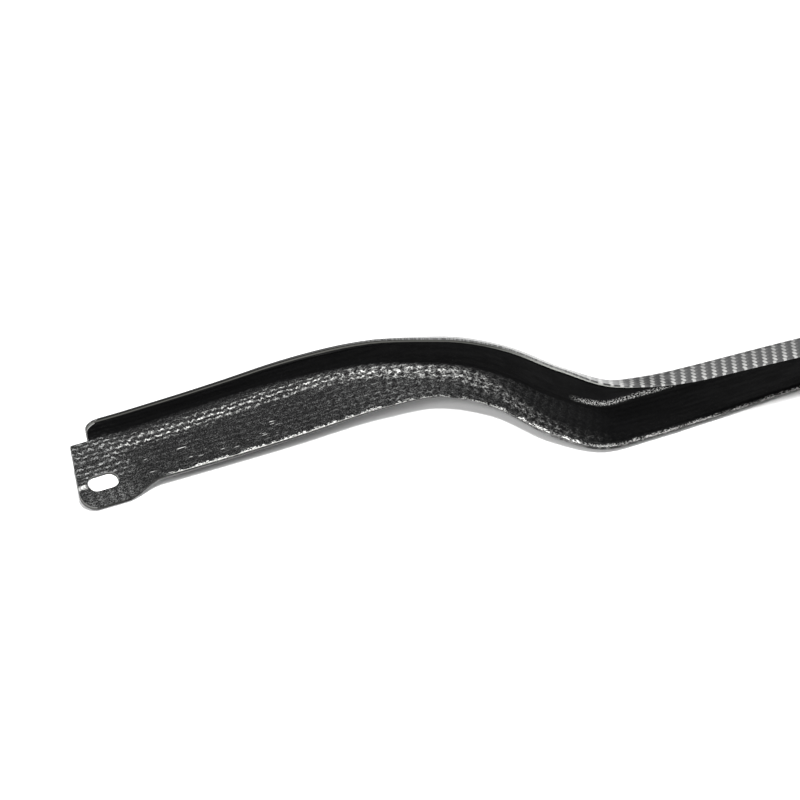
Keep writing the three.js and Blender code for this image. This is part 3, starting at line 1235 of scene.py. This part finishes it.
@dataclass
class Laminate:
    """All the plies of the lip, from the mould face inwards."""

    lip: Lip
    finishes: Finishes
    bond_line: float = 0.3
    face_thickness: float = 1.0
    glass_thickness: float = 0.9
    inner_thickness: float = 0.6
    patch_thickness: float = 0.8
    flush: Course = Course(((0, 0), (1, 0)))
    edge_step: Course = Course(((0, 2.4), (530, 2.4), (590, 0.3), (760, 0.3)))

    def plies(self) -> list[tuple[Ply, tuple[int, ...], bpy.types.Material]]:
        """Every ply with the ends at which it is trimmed and its finish."""
        end = self.lip.ear.lay_up_end
        glass_depth = self.face_thickness + self.bond_line
        inner_depth = glass_depth + self.glass_thickness + self.bond_line
        patch_depth = inner_depth + self.inner_thickness + self.bond_line
        plain = Mesh(4.0, (8, 8, 3, 8, 3), (8, 8, 3, 8, 3))
        hidden = Mesh(6.0, (6, 5, 2, 5, 2), (6, 5, 2, 5, 2))
        rough = Mesh(1.25, (38, 14, 10, 8, 8), (5, 4, 1, 4, 1))
        pad = Mesh(1.0, (26, 0, 0, 0, 0), (6, 0, 0, 0, 0))
        face = Ply(
            "face_ply_twill", "face_ply", "glossy_twill",
            0.0, self.face_thickness, self.flush, plain, (-end, end),
        )
        glass = Ply(
            "glass_ply", "glass_core_ply", "glass_fibre",
            glass_depth, self.glass_thickness, self.edge_step, hidden, (-end, end),
        )
        plies = [(face, (-1, 1), self.finishes.twill), (glass, (-1, 1), self.finishes.glass)]
        for word, side in (("left", -1), ("right", 1)):
            half = sorted((0.0, side * end))
            tab = sorted((side * self.lip.ear.patch_start, side * end))
            inner = InnerPly(
                f"inner_ply_{word}", "inner_ply", "rough_cloth",
                inner_depth, self.inner_thickness, self.edge_step, rough, half,
            )
            patch = InnerPly(
                f"ear_cloth_{word}", f"ear_patch_{word}", "patch_cloth",
                patch_depth, self.patch_thickness, self.edge_step, pad, tab, (Zone.BLADE,), 0.5,
            )
            plies += [(inner, (side,), self.finishes.cloth), (patch, (side,), self.finishes.patch)]
        return plies

    def build(self) -> None:
        """Builds, trims and dresses every ply."""
        trimmer = Trimmer(self.lip)
        for ply, sides, finish in self.plies():
            piece = ply.build(self.lip)
            trimmer.trim(piece, sides)
            piece.data.materials.clear()
            piece.data.materials.append(finish)
            piece.data.materials.append(self.finishes.edge_of(finish))
            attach(piece, "root")
            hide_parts(ply.node)
            log.info("%s: %d faces", piece.name, len(piece.data.polygons))


# ---------------------------------------------------------------------------------------------
# The studio
# ---------------------------------------------------------------------------------------------


@dataclass(frozen=True)
class Softbox:
    """A rectangular light that the camera doesn't see, with its sizes in metres and watts."""

    name: str
    place: Vector
    aim: Vector
    size: tuple[float, float]
    power: float

    def build(self) -> None:
        """Hangs the light."""
        lamp = bpy.data.lights.new(self.name, "AREA")
        lamp.shape = "RECTANGLE"
        lamp.size, lamp.size_y = self.size
        lamp.energy = self.power
        light = bpy.data.objects.new(self.name, lamp)
        light.location = self.place
        light.rotation_euler = (self.aim - self.place).to_track_quat("-Z", "Y").to_euler()
        light.visible_camera = False
        bpy.context.scene.collection.objects.link(light)


@dataclass
class Studio:
    """White floor, soft lights and the camera. A small lamp whitens the floor seen through the slot."""

    floor_reach: float = 15.0
    eye: Vector = Vector((-0.622, -1.24334, 1.02846))
    eye_tilt: float = math.radians(50)
    lens: float = 130.9
    ambience: float = 0.18
    wing: Vector = Vector((-0.45, 0.0, 0.0))
    under_ear: Vector = Vector((-0.779, -0.078, 0.0085))
    under_slot: Vector = Vector((-0.779, -0.086, -0.0015))

    def build(self) -> None:
        """Sets up the floor, the world, the lights and the camera."""
        self.floor()
        self.world()
        Softbox("overhead", Vector((-0.55, -0.55, 2.4)), self.wing, (0.45, 0.45), 85.0).build()
        Softbox("front", Vector((-1.6, -1.6, 1.9)), self.wing, (0.9, 0.9), 26.0).build()
        Softbox("back", Vector((-0.3, 2.6, 2.0)), self.wing, (2.6, 1.2), 10.0).build()
        Softbox("under_ear", self.under_ear, self.under_slot, (0.024, 0.004), 0.006).build()
        self.camera()
        view = bpy.context.scene.view_settings
        view.view_transform = "Standard"
        view.look = "None"

    def floor(self) -> None:
        """Lays the floor under the lip."""
        bm = bmesh.new()
        bmesh.ops.create_grid(bm, x_segments=2, y_segments=2, size=self.floor_reach)
        floor = finished(bm, "studio_floor")
        floor.data.materials.append(StudioFloor().material())

    def world(self) -> None:
        """Fills the room with an even pale light."""
        world = bpy.data.worlds.new("room")
        world.use_nodes = True
        background = world.node_tree.nodes["Background"]
        background.inputs["Color"].default_value = (1.0, 1.0, 1.0, 1.0)
        background.inputs["Strength"].default_value = self.ambience
        bpy.context.scene.world = world

    def camera(self) -> None:
        """Places the camera in front of the left wing, looking down on it."""
        lens = bpy.data.cameras.new("camera")
        lens.lens = self.lens
        lens.sensor_width = 36.0
        lens.clip_start = 0.05
        lens.clip_end = 60.0
        camera = bpy.data.objects.new("camera", lens)
        camera.location = self.eye
        camera.rotation_euler = (self.eye_tilt, 0.0, 0.0)
        bpy.context.scene.collection.objects.link(camera)
        bpy.context.scene.camera = camera


def main() -> None:
    logging.basicConfig(level=logging.INFO, format="%(name)s: %(message)s")
    Studio().build()
    lip = Lip()
    lip.align(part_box("face_ply")[1].y)
    Laminate(lip, Finishes()).build()


if __name__ == "__main__":
    main()
